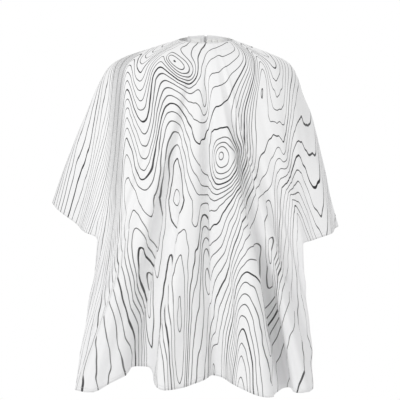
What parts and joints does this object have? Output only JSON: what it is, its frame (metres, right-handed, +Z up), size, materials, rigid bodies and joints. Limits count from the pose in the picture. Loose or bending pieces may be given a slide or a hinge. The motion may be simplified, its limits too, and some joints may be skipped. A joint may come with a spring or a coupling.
{
  "type": "barber cape",
  "caption": "White printed barber cape with a contour-line pattern, hanging as worn, with a snap tab at the back of the neck.",
  "frame": {"origin": "centre of the neck opening, on the wearer's neck axis, a little above the front neckline", "axes": "+Z up along the wearer's neck, the front of the cape faces -Y, the snap closure is at +Y, +X is the wearer's left"},
  "size_m": [0.6782, 0.4757, 0.8404],
  "materials": {
    "printed_cloth": "smooth woven polyester with thin dark contour lines",
    "plain_cloth": "smooth woven polyester, unprinted reverse",
    "interlining": "matt non-woven",
    "snap_plastic": "semi-gloss moulded resin",
    "label_satin": "blank satin ribbon"
  },
  "bodies": {
    "cape": {"cape_cloth": "printed_cloth", "neck_interlining": "interlining", "neck_facing": "plain_cloth", "tab_anchor": "printed_cloth", "stud_1": "snap_plastic", "stud_2": "snap_plastic", "stud_3": "snap_plastic", "stud_cap_1": "snap_plastic", "stud_cap_2": "snap_plastic", "stud_cap_3": "snap_plastic"},
    "tab": {"tab_lining": "plain_cloth", "tab_interlining": "interlining", "tab_cloth": "printed_cloth", "tab_socket": "snap_plastic", "tab_cap": "snap_plastic"},
    "label": {"care_label": "label_satin"}
  },
  "joints": [
    {"name": "tab_hinge", "type": "hinge", "parent": "cape", "child": "tab", "pos_m": [-0.02, 0.05533, 0.00299], "axis": [0, 0, 1], "range_deg": [0, 140]},
    {"name": "label_hinge", "type": "hinge", "parent": "cape", "child": "label", "pos_m": [-0.024, 0.04657, 0.011], "axis": [-1, 0, 0], "range_deg": [0, 120]}
  ]
}
